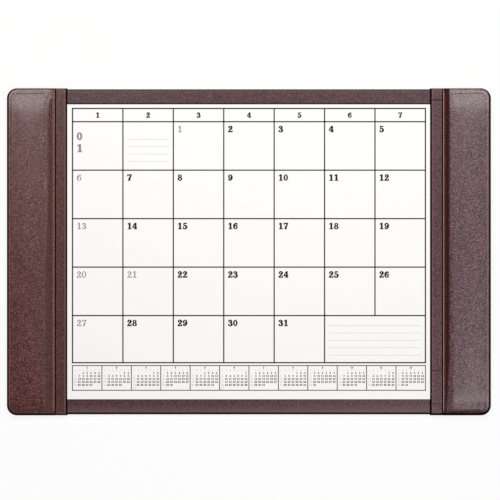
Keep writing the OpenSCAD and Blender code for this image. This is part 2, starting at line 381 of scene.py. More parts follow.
railShape = {
    "cornerRadius": 13.5,
    "shoulderRadius": 6.8,
    "shoulderLift": 0.6,
    "shoulderBlend": 0.4,
    "crownRadius": 600.0,
    "slopeLong": 15.0,
    "slopePower": 2.5,
    "seamWidth": 3.6,
    "seamBlend": 0.35,
    "foldStart": 0.8,  # from the inner edge
    "foldDrop": 1.14,
    "endSlope": 0.20,
    "endReach": 25.0,
    "endBlend": 2.2,
    "frontReach": 30.0,
    "frontDrop": 5.0,
    "frontPower": 2.2,
    "grooveHalf": 1.1,
    "grooveDepth": 0.45,
    "beadDip": 0.22,
    "beadWidth": 1.1,
    "beadFade": (12, 6),  # before the seam
    "paddedEdge": (4, 12),  # from the outer edge
    "paddedSeam": (5, 16),  # before the seam
    "swell": 0.14,
    "waves": ((1.0, 0.035, 0.03, 7.3), (0.5, 0.09, 0.08, 3.1)),  # share, scale across and along, seed
    "leather": 1.02,
    "turnIn": 12.0,
    "turnedThickness": 0.36,
    "foamGap": 9.5,  # from the inner edge
    "clearance": 0.03,
    "edgeColumns": 22,
    "edgePower": 1.6,
    "columnSteps": ((45.0, 1.6), (60.0, 0.6), (railWidth, 0.18)),  # up to where, and how fine
    "rowStep": 1.8,
    # the marks' blends: dye and painted shade at the edge, painted shadow on the fold by the band, painted
    # highlight on the fold, and painted shade down the slope and on the front roll
    "dyeShadeBlend": (0.3, 0.4),
    "seamShadow": (0.5, 0.25),  # from the inner edge
    "foldHighlightGap": 0.25,
    "foldHighlightWidth": 0.55,
    "shadeBlend": 4.2,
    "shadeEnd": (1.9, 1.5),  # from the inner edge
    "frontShadeReach": (3.5, 12.5),
}

# per rail: how wide the near-black outer edge is (dye and painted shade, widest at the front), where and
# how strong the painted highlight lines on the outer ridge and the fold are, and how strong the painted
# shade is down the inner slope and on the front roll
railLooks = {
    -1: {"name": "leftRail", "leather": leftRailLeather, "shaded": None,
         "dyeShadeSide": 2.9, "dyeShadeBack": 1.5, "dyeShadeFront": 2.8,
         "ridge": 3.2, "ridgeWidth": 0.8, "ridgeHighlight": 0.5, "foldHighlight": 0.6,
         "crease": 0.55, "frontShade": 0.4, "shadeBack": 7.0, "shadeFront": 12.5, "shadeFade": 70.0,
         "shadeSpan": (120, -40), "beadSide": 4.9, "beadEnd": 6.2},
    1: {"name": "rightRail", "leather": rightRailLeather, "shaded": shadedLeather,
        "dyeShadeSide": 3.2, "dyeShadeBack": 1.3, "dyeShadeFront": 3.3,
        "ridge": 4.9, "ridgeWidth": 0.9, "ridgeHighlight": 0.45, "foldHighlight": 1.0,
        "crease": 0.92, "frontShade": 0.55, "shadeBack": 7.4, "shadeFront": 4.2, "shadeFade": 1.0,
        "shadeSpan": (-129, -209), "beadSide": 6.7, "beadEnd": 6.2},
}


def railPlan(u, v):  # turns the grid's square outer corners into round ones
    radius = railShape["cornerRadius"]
    front = v < depth / 2
    gap = v if front else depth - v
    edge = min(u, gap)
    turn = 1.0 if gap < u else 0.0
    if u < radius and gap < radius:
        a, b = (radius - u) / radius, (radius - gap) / radius
        reach = max(a, b, 1e-9)
        angle = math.pi / 4 * b / a if a >= b else math.pi / 2 - math.pi / 4 * a / b
        u = radius - radius * reach * math.cos(angle)
        gap = radius - radius * reach * math.sin(angle)
        edge = radius * (1 - reach)
        turn = angle / (math.pi / 2)
    return u, gap, edge, turn, (gap - halfDepth if front else halfDepth - gap)


def railHeight(u, gap, edge, front):
    shape = railShape
    radius = shape["shoulderRadius"]
    crease = railWidth - shape["seamWidth"]
    slopeStart = crease - shape["slopeLong"]
    shoulder = railTop + shape["shoulderLift"] - radius
    shoulder += math.sqrt(radius ** 2 - (radius - min(edge, radius)) ** 2)
    z = railTop - (u - railWidth / 2) ** 2 / (2 * shape["crownRadius"])
    if front:
        reach = max(0.0, 1 - gap / shape["frontReach"])
        z -= shape["frontDrop"] * reach ** shape["frontPower"]
    else:
        fall = railTop - shape["endSlope"] * (shape["endReach"] - gap)
        z = softLower(z, fall, shape["endBlend"])
    if u > slopeStart:
        across = min(1.0, (u - slopeStart) / shape["slopeLong"])
        z = seamTop + (z - seamTop) * (1 - across ** shape["slopePower"])
        margin = seamTop
        foldStart = railWidth - shape["foldStart"]
        if u > foldStart:
            t = min(1.0, (u - foldStart) / shape["foldStart"])
            margin -= shape["foldDrop"] * (1 - math.sqrt(1 - t * t))
        groove = (u - stitchLine) / shape["grooveHalf"]
        margin -= shape["grooveDepth"] * max(0.0, 1 - groove * groove)
        z = softHigher(z, margin, shape["seamBlend"]) if u < crease + 0.4 else margin
    seamNear, seamFar = [crease - before for before in shape["paddedSeam"]]
    inner = easeBetween(*shape["paddedEdge"], edge) * easeBetween(seamNear, seamFar, u)
    z = softLower(z, shoulder, shape["shoulderBlend"]) if edge > 0.3 else min(z, shoulder)
    return z, inner, crease


clothLook = {"columnStep": 4.0, "rowStep": 6.0, "start": 0.4, "pressure": 4.0, "mass": 0.2, "quality": 6,
             "frames": 20, "cap": 0.75}


def skinSwell(side):  # fills the skin out by pressure, held where it is glued and sewn
    look = clothLook
    columns = steps(0.0, railWidth - railShape["seamWidth"], look["columnStep"])
    rows = steps(0.0, depth, look["rowStep"])
    wide = len(columns)
    points, held = [], []
    for v in rows:
        for column in columns:
            u, gap, edge, turn, y = railPlan(column, v)
            z, inner, crease = railHeight(u, gap, edge, y < 0)
            points.append(Vector((side * (halfWidth - u), y, z - look["start"] * inner)) * mm)
            held.append(1 - inner)
    faces = []
    for j in range(len(rows) - 1):
        for i in range(wide - 1):
            face = (j * wide + i, j * wide + i + 1, (j + 1) * wide + i + 1, (j + 1) * wide + i)
            faces.append(face if side < 0 else tuple(reversed(face)))
    mesh = bpy.data.meshes.new("skin")
    mesh.from_pydata(points, [], faces)
    skin = bpy.data.objects.new("skin", mesh)
    bpy.context.scene.collection.objects.link(skin)
    pins = skin.vertex_groups.new(name="held")
    for k, weight in enumerate(held):
        pins.add([k], weight, "REPLACE")
    cloth = skin.modifiers.new("fill", "CLOTH")
    cloth.settings.quality = look["quality"]
    cloth.settings.mass = look["mass"]
    cloth.settings.vertex_group_mass = "held"
    cloth.settings.use_pressure = True
    cloth.settings.uniform_pressure_force = look["pressure"]
    cloth.settings.effector_weights.gravity = 0.0
    cloth.collision_settings.use_collision = False
    cloth.point_cache.frame_start = 1
    cloth.point_cache.frame_end = look["frames"]
    for number in range(1, look["frames"] + 1):
        bpy.context.scene.frame_set(number)
    filled = skin.evaluated_get(bpy.context.evaluated_depsgraph_get()).data.vertices
    heights = [(filled[k].co.z - points[k].z) / mm for k in range(len(points))]
    print("skin rose by", round(min(heights), 3), "to", round(max(heights), 3), "mm")
    heights = [min(look["cap"], max(0.0, rise)) - look["start"] * (1 - held[k])
               for k, rise in enumerate(heights)]
    bpy.data.objects.remove(skin)
    bpy.data.meshes.remove(mesh)
    bpy.context.scene.frame_set(1)
    return columns, rows, [heights[j * wide:(j + 1) * wide] for j in range(len(rows))]


def between(places, x):  # the step that x lies in, and how far along it
    share = (x - places[0]) / (places[-1] - places[0]) * (len(places) - 1)
    k = min(len(places) - 2, max(0, int(share)))
    return k, min(1.0, max(0.0, share - k))


def riseAt(swell, column, v):
    columns, rows, heights = swell
    i, a = between(columns, column)
    j, b = between(rows, v)
    near = heights[j][i] * (1 - a) + heights[j][i + 1] * a
    far = heights[j + 1][i] * (1 - a) + heights[j + 1][i + 1] * a
    return near * (1 - b) + far * b


def railPiece(side):
    shape, look = railShape, railLooks[side]
    radius = shape["cornerRadius"]
    edgeSteps = [radius * (i / shape["edgeColumns"]) ** shape["edgePower"]
                 for i in range(shape["edgeColumns"] + 1)]
    columns, start = list(edgeSteps), radius
    for end, size in shape["columnSteps"]:
        columns += steps(start, end, size)[1:]
        start = end
    middle = steps(radius, depth - radius, shape["rowStep"])[1:-1]
    rows = edgeSteps + middle + [depth - e for e in reversed(edgeSteps)]
    wide, long = len(columns), len(rows)
    points, marks, addPoint = pointStore(side)
    dyeShadeBefore, dyeShadeAfter = shape["dyeShadeBlend"]
    seamShadow = [railWidth - before for before in shape["seamShadow"]]
    shadeEnd = [railWidth - before for before in shape["shadeEnd"]]
    fold = railWidth - shape["foldStart"] - shape["foldHighlightGap"]

    swell = skinSwell(side)
    topGrid = []
    for v in rows:
        line = []
        for column in columns:
            u, gap, edge, turn, y = railPlan(column, v)
            z, inner, crease = railHeight(u, gap, edge, y < 0)
            wave = unevenness(u, y, side, shape["waves"])
            z += shape["swell"] * inner * wave + inner * riseAt(swell, column, v)
            bead = look["beadSide"] + (look["beadEnd"] - look["beadSide"]) * turn
            atFront = turn if y < 0 else 0.0
            fadeStart, fadeEnd = [crease - before for before in shape["beadFade"]]
            beadShare = (1 - atFront) * (1 - easeBetween(fadeStart, fadeEnd, u))
            z -= shape["beadDip"] * beadShare * hump(bead, shape["beadWidth"], edge)
            # dye and painted shade: a near-black band along the outer edge, widest at the front
            dyeShadeEnd = look["dyeShadeFront" if y < 0 else "dyeShadeBack"]
            dyeShadeWidth = look["dyeShadeSide"] + (dyeShadeEnd - look["dyeShadeSide"]) * turn
            dyedAndShaded = 1 - easeBetween(dyeShadeWidth - dyeShadeBefore, dyeShadeWidth + dyeShadeAfter, edge)
            # painted shadow on the fold's steep side next to the band
            dyedAndShaded = max(dyedAndShaded, easeBetween(*seamShadow, u))
            # painted highlight along the outer ridge and on the fold by the seam
            highlit = look["ridgeHighlight"] * (1 - atFront) * hump(look["ridge"], look["ridgeWidth"], edge)
            highlit = max(highlit, look["foldHighlight"] * hump(fold, shape["foldHighlightWidth"], u))
            # painted shade down the inner slope to the seam and on the front roll, kept in the crease mark
            toFront = easeBetween(*look["shadeSpan"], y)
            shadeStart = crease - look["shadeBack"] + (look["shadeBack"] - look["shadeFront"]) * toFront
            deep = look["crease"] * easeBetween(shadeStart, shadeStart + shape["shadeBlend"], u)
            deep *= easeBetween(0, look["shadeFade"], halfDepth - y)
            deep *= 1 - easeBetween(*shadeEnd, u)
            frontShade = look["frontShade"] * atFront
            deep = max(deep, frontShade * (1 - easeBetween(*shape["frontShadeReach"], edge)))
            line.append(addPoint(u, y, z, dyedAndShaded, highlit, deep))
        topGrid.append(line)

    def drawIn(t, inset):  # grid place moved inside the leather's thickness
        return inset + t * (radius - inset) / radius if t < radius else t

    lowGrid = []
    inset = shape["leather"]
    for v in rows:
        line = []
        vIn = drawIn(v, inset) if v < depth / 2 else depth - drawIn(depth - v, inset)
        for column in columns:
            u, gap, edge, turn, y = railPlan(drawIn(column, inset), vIn)
            under = bandTop if column > railWidth - shape["foamGap"] else faceTop
            line.append(addPoint(u, y, under + shape["clearance"], 1.0))
        lowGrid.append(line)

    faces = []
    for j in range(long - 1):
        for i in range(wide - 1):
            for grid in (topGrid, lowGrid):
                faces.append((grid[j][i], grid[j][i + 1], grid[j + 1][i + 1], grid[j + 1][i]))
        faces.append((topGrid[j][-1], topGrid[j + 1][-1], lowGrid[j + 1][-1], lowGrid[j][-1]))

    # the leather wraps down over the board's edge and is turned under it
    rimPath = [(i, 0) for i in range(wide - 1, -1, -1)] + [(0, j) for j in range(1, long)]
    rimPath += [(i, long - 1) for i in range(1, wide)]
    turnTop = turnBottom + shape["turnedThickness"]
    bends = [  # how far in from the side, height, dye and painted shade
        (0.0, 6.5, 0.9), (0.0, 4.5, 0.5), (0.0, 2.4, 0.4), (0.05, 1.6, 0.4), (0.25, turnBottom + 0.3, 0.4),
        (0.6, turnBottom, 0.3), (shape["turnIn"], turnBottom, 0.2), (shape["turnIn"], turnTop, 1.0),
        (inset, turnTop, 1.0), (inset, 3.2, 1.0)]
    rings = [[topGrid[j][i] for i, j in rimPath]]
    for distance, z, dyedAndShaded in bends:
        ring = []
        for i, j in rimPath:
            u, gap, edge, turn, y = railPlan(columns[i], rows[j])
            inward = math.pi / 2 * turn
            sign = 1 if y < 0 else -1
            acrossIn, alongIn = distance * math.cos(inward), sign * distance * math.sin(inward)
            ring.append(addPoint(u + acrossIn, y + alongIn, z, dyedAndShaded))
        rings.append(ring)
    rings.append([lowGrid[j][i] for i, j in rimPath])
    for first, second in zip(rings, rings[1:]):
        for k in range(len(rimPath) - 1):
            faces.append((first[k], first[k + 1], second[k + 1], second[k]))
    faces.append([ring[0] for ring in rings])
    faces.append([ring[-1] for ring in rings])
    return makePiece(look["name"], points, faces, look["leather"], marks, look["shaded"])


for side, word in sideNames.items():
    rail = railPiece(side)
    carry(rail, "pad", "rail_leather", word + "_rail_cover", word + "_rail_foam")
print("padded rails made")


# bands that hold the calendar down

bandShape = {
    "tongueEnd": 217.6,
    "seamDip": 0.55,
    "seamDipWidth": 1.5,
    "ridgeRise": 0.12,
    "ridgeWidth": 0.9,
    "foldWidth": 1.8,
    "foldDrop": 1.2,
    "thickness": 1.36,
    "endRound": 1.4,
    "endSteps": 6,
    "wall": 1.02,
    "turnIn": 12.0,
    "turnedThickness": 0.36,
    "swell": 0.10,
    "swellFrom": (1, 6),  # from each end
    "waves": ((1.0, 0.08, 0.022, 5.7), (0.6, 0.15, 0.06, 2.9)),  # share, scale across and along, seed
    # each crease: a dip, with painted shade along it
    "creaseDepth": 0.22,
    "creaseWidth": 0.6,
    "creaseShadeWidth": 0.7,
    "creaseWander": 0.5,
    # painted shadow beside the rail, dye and painted shade at the fold and ends, and painted highlight
    # lines on the ridge, by the seam and near the ends
    "seamShadow": (0.7, 1.5),  # from the rail's edge
    "foldDyeShadeBlend": 0.5,
    "endDyeShadeBlend": 0.3,
    "edgeHighlightWidth": 0.7,
    "seamHighlight": 0.1,
    "seamHighlightPlace": 2.6,
    "seamHighlightWidth": 0.8,
    "endHighlightPlace": 1.2,
    "endHighlightWidth": 0.7,
    "seamZone": 2,  # stretches across the band that have finer steps
    "foldZone": 4.4,
    "fineStep": 0.22,
    "middleStep": 1.0,
    "rowStep": 1.2,
}

# per band: the strength of the painted highlight lines on the ridge and near the ends, and the widths of
# the near-black ends and fold, dye and painted shade
bandLooks = {
    -1: {"name": "leftBand", "leather": leftBandLeather, "creases": [],
         "edgeHighlight": 1.0, "endHighlight": 0.7, "ridge": 3.1,
         "dyeShadeBack": 1.1, "dyeShadeFront": 2.4, "dyeShadeFold": 2.2, "proud": 0.1},
    1: {"name": "rightBand", "leather": rightBandLeather,
        "creases": [(203.0, 0.02, 0.9), (-158.5, -0.03, 0.8), (-203.5, 0.02, 0.5)],  # place, slant, depth of the dip and of its painted shade
        "edgeHighlight": 0.55, "endHighlight": 0.3, "ridge": 3.4,
        "dyeShadeBack": 1.1, "dyeShadeFront": 2.8, "dyeShadeFold": 2.3, "proud": 0.8},
}


def bandPiece(side):
    shape, look = bandShape, bandLooks[side]
    foldEdge = bandEdge + look["proud"]
    ridge = foldEdge - look["ridge"]
    outer = [bandStart, railWidth - 2.5, railWidth]
    seamZone, foldZone = railWidth + shape["seamZone"], foldEdge - shape["foldZone"]
    columns = steps(railWidth, seamZone, shape["fineStep"])
    columns += steps(seamZone, foldZone, shape["middleStep"])[1:]
    columns += steps(foldZone, foldEdge, shape["fineStep"])[1:]
    last = shape["endSteps"]
    ends = [shape["endRound"] * (1 - math.cos(math.pi / 2 * k / last)) for k in range(last + 1)]
    inside = steps(ends[-1], depth - ends[-1], shape["rowStep"])[1:-1]
    rows = ends + inside + [depth - e for e in reversed(ends)]
    low = bandTop - shape["thickness"]
    turnTop = turnBottom + shape["turnedThickness"]
    wall, turned = halfDepth - shape["wall"], halfDepth - shape["turnIn"]
    across = (wall, wall / 2, 0, -wall / 2, -wall)
    back = [  # y, height, dye and painted shade, down the back wall and under the board
        (halfDepth, 5.0, 0.5), (halfDepth, 2.4, 0.4), (halfDepth - 0.1, 1.3, 0.4),
        (halfDepth - 0.5, turnBottom, 0.3), (turned, turnBottom, 0.2), (turned, turnTop, 1.0),
        (wall, turnTop, 1.0), (wall, 4.0, 1.0)]
    points, marks, addPoint = pointStore(side)

    def topPoint(u, v):
        gap = min(v, depth - v)
        y = v - halfDepth
        z = bandTop - shape["seamDip"] * (1 - easeBetween(railWidth, railWidth + shape["seamDipWidth"], u))
        z += shape["ridgeRise"] * hump(ridge, shape["ridgeWidth"], u)
        z += shape["swell"] * unevenness(u, y, side, shape["waves"]) * easeBetween(*shape["swellFrom"], gap)
        t = max(0.0, (u - foldEdge + shape["foldWidth"]) / shape["foldWidth"])
        z -= shape["foldDrop"] * (1 - math.sqrt(max(0.0, 1 - t * t)))
        # painted shade along each crease, besides its dip
        creaseShade = 0.0
        for place, slant, amount in look["creases"]:
            line = place + slant * (u - railWidth)
            line += shape["creaseWander"] * noise.noise(Vector((u * 0.3, place, 0)))
            z -= shape["creaseDepth"] * amount * hump(line, shape["creaseWidth"], y)
            creaseShade = max(creaseShade, amount * hump(line, shape["creaseShadeWidth"], y))
        corner = shape["endRound"]
        if gap < corner:
            z -= corner - math.sqrt(max(0.0, corner ** 2 - (corner - gap) ** 2))
        # painted shadow on the band beside the rail's edge
        seamShadowStart, seamShadowStop = [railWidth + place for place in shape["seamShadow"]]
        dyedAndShaded = 1 - easeBetween(seamShadowStart, seamShadowStop, u)
        # dye and painted shade on the fold's edge and at the band's ends
        dyeShadeFold = foldEdge - look["dyeShadeFold"]
        dyedAndShaded = max(dyedAndShaded, easeBetween(dyeShadeFold, dyeShadeFold + shape["foldDyeShadeBlend"], u))
        dyeShadeEnd = look["dyeShadeFront"] if y < 0 else look["dyeShadeBack"]
        blend = shape["endDyeShadeBlend"]
        dyedAndShaded = max(dyedAndShaded, 1 - easeBetween(dyeShadeEnd - blend, dyeShadeEnd + blend, gap))
        # painted highlight on the ridge before the fold, beside the seam and near the ends
        highlit = look["edgeHighlight"] * hump(ridge, shape["edgeHighlightWidth"], u)
        seamHighlit = hump(railWidth + shape["seamHighlightPlace"], shape["seamHighlightWidth"], u)
        highlit = max(highlit, shape["seamHighlight"] * seamHighlit)
        endHighlit = hump(dyeShadeEnd + shape["endHighlightPlace"], shape["endHighlightWidth"], gap)
        highlit = max(highlit, look["endHighlight"] * endHighlit)
        return addPoint(u, y, z, dyedAndShaded, highlit, creaseShade)

    def loopAt(u):  # one slice of the band across the pad, as a closed loop
        loop = [topPoint(u, v) for v in rows]
        loop += [addPoint(u, y, z, dyedAndShaded) for y, z, dyedAndShaded in back]
        loop += [addPoint(u, y, low, 1.0) for y in across]
        loop += [addPoint(u, -y, z, dyedAndShaded) for y, z, dyedAndShaded in reversed(back)]
        return loop

    def tongueAt(u):  # the hidden part under the rail's seam
        end = shape["tongueEnd"]
        top = bandTop - shape["seamDip"]
        loop = [addPoint(u, min(end, max(-end, v - halfDepth)), top, 1.0) for v in rows]
        loop += [addPoint(u, end, low, 1.0) for bend in back]
        loop += [addPoint(u, min(end, max(-end, y)), low, 1.0) for y in across]
        loop += [addPoint(u, -end, low, 1.0) for bend in back]
        return loop

    loops = [tongueAt(u) for u in outer] + [loopAt(u) for u in columns]
    faces = []
    for first, second in zip(loops, loops[1:]):
        for k in range(len(first)):
            n = (k + 1) % len(first)
            faces.append((first[k], first[n], second[n], second[k]))
    faces += [loops[0], loops[-1]]
    return makePiece(look["name"], points, faces, look["leather"], marks)


for side, word in sideNames.items():
    band = bandPiece(side)
    carry(band, "pad", "band_leather", word + "_band")
print("bands made")


# stitches and their needle holes, along each seam

stitchLook = {
    "pitch": 3.0,
    "length": 1.5,
    "rise": 0.42,
    "dip": 0.6,
    "archShare": 0.55,
    "flat": 0.7,
    "tilt": 0.09,
    "slant": 0.28,
    "threadDrop": 0.12,
    "thickness": {-1: 1.2, 1: 0.8},
    "holeWide": 2.2,
    "holeLong": 1.75,
    "holeDepth": 0.5,
    "holeDrop": 0.24,
    "seed": 4,
}
rowInputs = {"Count": "Int", "Pitch": "Float", "Start": "Vector", "Slant": "Float", "Tilt": "Float",
             "Radius": "Float", "Seed": "Int"}


def rowTree(name, material, shapeNodes):
    tree = bpy.data.node_groups.new(name, "GeometryNodeTree")
    sockets = {}
    for key, kind in rowInputs.items():
        sockets[key] = tree.interface.new_socket(name=key, in_out="INPUT", socket_type="NodeSocket" + kind)
    tree.interface.new_socket(name="Geometry", in_out="OUTPUT", socket_type="NodeSocketGeometry")
    given = addNode(tree, "NodeGroupInput").outputs
    offset = addNode(tree, "ShaderNodeCombineXYZ", {"Y": given["Pitch"]}).outputs[0]
    line = addNode(tree, "GeometryNodeMeshLine", {
        "Count": given["Count"], "Start Location": given["Start"], "Offset": offset}, mode="OFFSET")
    least, most = [calculate(tree, kind, given["Slant"], given["Tilt"]) for kind in ("SUBTRACT", "ADD")]
    turn = addNode(tree, "FunctionNodeRandomValue", {
        0: addNode(tree, "ShaderNodeCombineXYZ", {"Z": least}).outputs[0],
        1: addNode(tree, "ShaderNodeCombineXYZ", {"Z": most}).outputs[0],
        "Seed": given["Seed"]}, data_type="FLOAT_VECTOR")
    copies = addNode(tree, "GeometryNodeInstanceOnPoints", {
        "Points": line.outputs[0], "Instance": shapeNodes(tree, given), "Rotation": turn.outputs[0]})
    real = addNode(tree, "GeometryNodeRealizeInstances", {0: copies.outputs[0]})
    smooth = addNode(tree, "GeometryNodeSetShadeSmooth", {0: real.outputs[0]})
    painted = addNode(tree, "GeometryNodeSetMaterial", {0: smooth.outputs[0], "Material": material})
    end = addNode(tree, "NodeGroupOutput")
    tree.links.new(painted.outputs[0], end.inputs[0])
    return tree, sockets


def threadShape(tree, given):  # a short arch of thread, down into the leather at both ends
    look = stitchLook
    half, dip = look["length"] / 2 * mm, look["dip"] * mm
    top = (look["rise"] * 2 + look["dip"]) * mm * look["archShare"]
    arch = addNode(tree, "GeometryNodeCurveQuadraticBezier", {
        "Resolution": 7, "Start": (0, -half, -dip), "Middle": (0, 0, top), "End": (0, half, -dip)})
    ring = addNode(tree, "GeometryNodeCurvePrimitiveCircle", {
        "Resolution": 7, "Radius": given["Radius"]})
    tube = addNode(tree, "GeometryNodeCurveToMesh", {
        "Curve": arch.outputs[0], "Profile Curve": ring.outputs[0], "Fill Caps": True})
    flat = addNode(tree, "GeometryNodeTransform", {
        "Geometry": tube.outputs[0], "Scale": (1, 1, look["flat"])})
    return flat.outputs[0]


def holeShape(tree, given):  # painted shade: a flat near-black dimple where the needle went through, for the shade inside the hole
    ball = addNode(tree, "GeometryNodeMeshUVSphere", {"Segments": 8, "Rings": 5, "Radius": given["Radius"]})
    size = (stitchLook["holeWide"], stitchLook["holeLong"], stitchLook["holeDepth"])
    flat = addNode(tree, "GeometryNodeTransform", {"Geometry": ball.outputs[0], "Scale": size})
    return flat.outputs[0]


def sewnRow(name, tree, sockets, values):
    base = bpy.data.meshes.new(name)
    piece = bpy.data.objects.new(name, base)
    bpy.context.scene.collection.objects.link(piece)
    modifier = piece.modifiers.new("row", "NODES")
    modifier.node_group = tree
    for key, value in values.items():
        modifier[sockets[key].identifier] = value
    bpy.context.view_layer.update()
    made = bpy.data.meshes.new_from_object(piece.evaluated_get(bpy.context.evaluated_depsgraph_get()))
    piece.modifiers.remove(modifier)
    piece.data = made
    print(name, len(made.polygons), "faces")
    return piece


holeTree, holeSockets = rowTree("needleHoleRow", plain["needleHoleShade"], holeShape)
stitchCount = round((stitchHigh.y - stitchLow.y) / stitchLook["pitch"])
rowStart = -(stitchCount - 1) / 2 * stitchLook["pitch"]
holeStart = rowStart - stitchLook["pitch"] / 2
for side, word in sideNames.items():
    x = side * (halfWidth - stitchLine) * mm
    # each side's own thread colour; the right one's darker tone is painted shade
    threadTree, threadSockets = rowTree(word + "StitchRow", plain[word + "Thread"], threadShape)
    values = {
        "Count": stitchCount, "Pitch": stitchLook["pitch"] * mm,
        "Start": (x, rowStart * mm, (seamTop - stitchLook["threadDrop"]) * mm),
        "Slant": side * stitchLook["slant"], "Tilt": stitchLook["tilt"],
        "Radius": stitchLook["thickness"][side] / 2 * mm, "Seed": stitchLook["seed"] + side}
    thread = sewnRow(word + "Stitches", threadTree, threadSockets, values)
    carry(thread, "pad", "thread", word + "_stitching")
    values = dict(values, Count=stitchCount + 1, Tilt=0.0, Slant=0.0, Radius=mm / 2,
                  Start=(x, holeStart * mm, (seamTop - stitchLook["holeDrop"]) * mm))
    holes = sewnRow(word + "NeedleHoles", holeTree, holeSockets, values)
    carry(holes, "pad", "thread")
print("stitches made")


# felt underneath, one sheet with thinner margins over the turned leather

feltShape = {"margin": 16.0, "marginGap": 0.3, "rim": 0.66, "middle": 1.46, "corner": 9.5,
             "edgeRound": 0.25, "cornerSteps": 8}


def roundedOutline(low, high, inset, corner, count):
    outline = []
    centres = [(high.x - corner, high.y - corner), (low.x + corner, high.y - corner),
               (low.x + corner, low.y + corner), (high.x - corner, low.y + corner)]
    for quarter, (cx, cy) in enumerate(centres):
        for k in range(count + 1):
            angle = math.pi / 2 * (quarter + k / count)
            reach = corner - inset
            outline.append((cx + reach * math.cos(angle), cy + reach * math.sin(angle)))
    return outline


def feltPiece():
    shape = feltShape
    edge = shape["edgeRound"]
    rim = shape["rim"]
    levels = [(edge, 0.0), (0.05, edge * 0.6), (0.0, edge), (0.0, rim - edge), (edge, rim)]  # inset, height
    points = []
    for inset, z in levels:
        outline = roundedOutline(feltLow, feltHigh, inset, shape["corner"], shape["cornerSteps"])
        points += [(x, y, z) for x, y in outline]
    ring = len(points) // len(levels)
    faces = [list(range(ring))]
    for k in range(len(levels) - 1):
        for i in range(ring):
            n = (i + 1) % ring
            faces.append((k * ring + i, k * ring + n, (k + 1) * ring + n, (k + 1) * ring + i))
    reachX, reachY = [half - shape["margin"] - shape["marginGap"] for half in (halfWidth, halfDepth)]
    square = [(reachX, reachY), (-reachX, reachY), (-reachX, -reachY), (reachX, -reachY)]
    start = len(points)
    points += [(x, y, z) for z in (rim, shape["middle"]) for x, y in square]
    lastRing = (len(levels) - 1) * ring
    quarter = ring // 4
    for k in range(4):  # from the round rim to the raised middle's square corners
        for i in range(quarter - 1):
            faces.append((lastRing + k * quarter + i, lastRing + k * quarter + i + 1, start + k))
        n = (k + 1) % 4
        faces.append((lastRing + k * quarter + quarter - 1, lastRing + n * quarter, start + n, start + k))
        faces.append((start + k, start + n, start + 4 + n, start + 4 + k))
    faces.append([start + 4 + k for k in range(4)])
    return makePiece("feltSheet", points, faces, plain["blackFelt"])


felt = feltPiece()
carry(felt, "pad", "felt", "felt_backing")


# what is printed on the top sheet: rules and plain numbers

page = {
    "left": -236.4, "right": 236.5, "top": 192.1, "header": 174.4, "bottom": -148.5, "weekTall": 64.95,
    "yearTop": -152.4, "yearBottom": -185.5,
    "columns": 7, "weeks": 5, "months": 12,
    "ruleWide": 1.8, "thinRule": 1.75, "yearRule": 1.15, "noteRule": 0.7, "inkRise": 0.015,
    "dayTall": 8.8, "dayLeft": 5.5, "dayDown": 5.5, "stretch": 1.1,
    "headTall": 7.4, "monthTall": 11.0, "monthLeft": 9.6, "monthDown": 14.0, "monthGap": 5.0,
    "smallTall": 2.6, "smallHead": 2.6, "smallHeadDown": 4.0, "smallWeekTall": 2.1,
    "smallLeft": 3.9, "smallStep": 5.25, "smallDown": 11.2, "smallRow": 4.0,
    "firstWeekday": 2, "paleDays": (1, 21), "paleWeight": 0.66,
    "notes": ((1, 2, 0, 23.5, 4), (5, 7, 4, 13.4, 5)),  # from and to column, week, first line down, lines
    "noteStep": 9.9, "noteMargin": 5.6,
}
monthDays = [31, 28, 31, 30, 31, 30, 31, 31, 30, 31, 30, 31]


